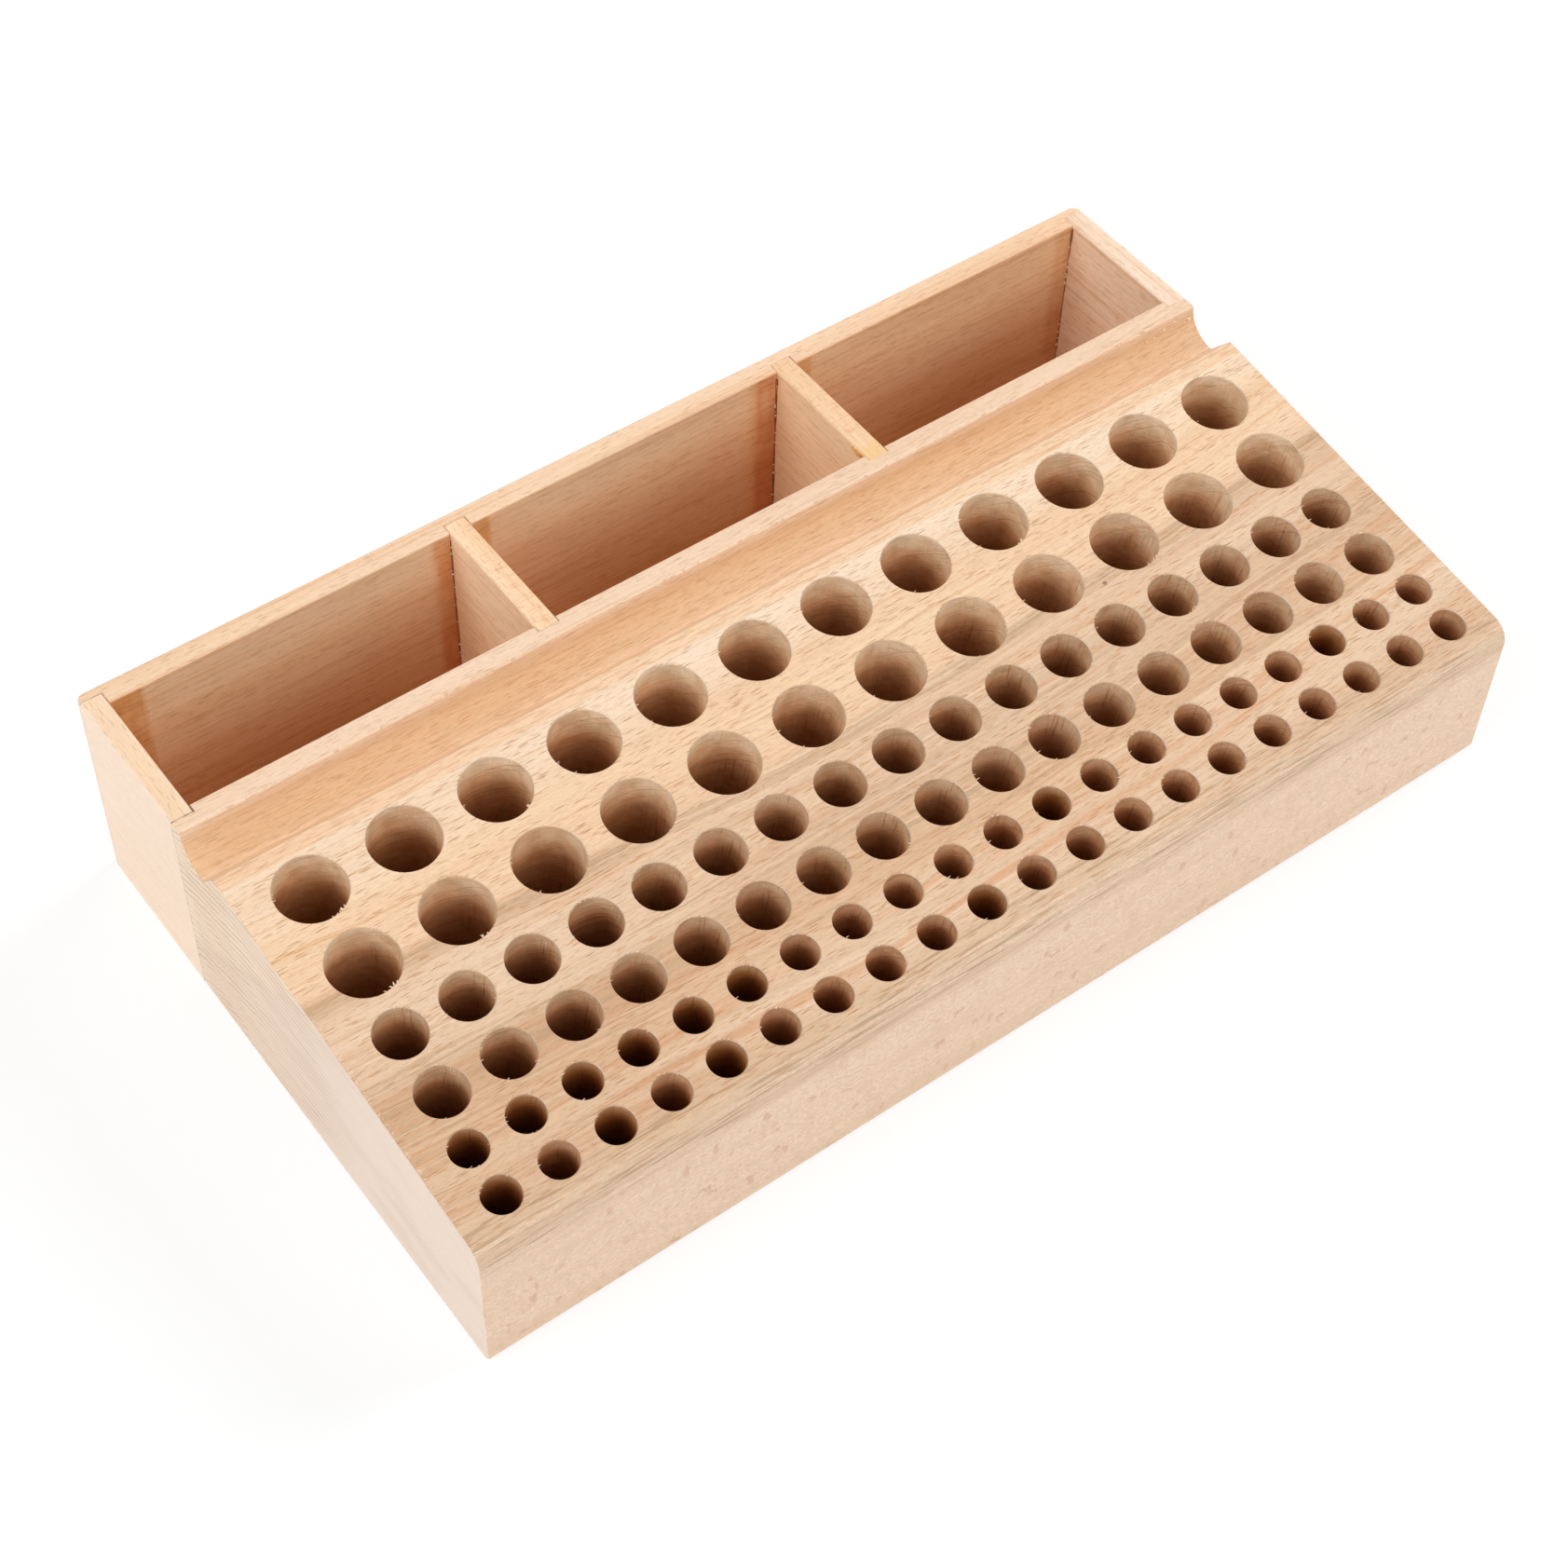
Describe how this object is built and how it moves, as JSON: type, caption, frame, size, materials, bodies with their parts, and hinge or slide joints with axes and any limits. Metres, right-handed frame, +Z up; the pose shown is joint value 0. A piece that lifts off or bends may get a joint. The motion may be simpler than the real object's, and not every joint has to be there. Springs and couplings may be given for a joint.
{
  "type": "tool holder",
  "caption": "Sloped beech block with rows of blind round holes in graded sizes, a trough behind the slope, and an open rear tray divided into compartments.",
  "frame": {"origin": "middle of the base", "axes": "+X along the length, to the right as the user faces the slope; +Y from the low front edge to the tray at the back; +Z up"},
  "size_m": [0.31, 0.174, 0.0635],
  "materials": {
    "block_beech": "bare sanded beech, pale with a browner heartwood band",
    "board_beech": "bare sanded beech, pale pinkish tan"
  },
  "bodies": {
    "root": {"tool_block": "block_beech", "back_board": "board_beech", "left_end_wall": "board_beech", "right_end_wall": "board_beech", "left_divider": "board_beech", "right_divider": "board_beech", "tray_floor": "board_beech"}
  },
  "joints": []
}
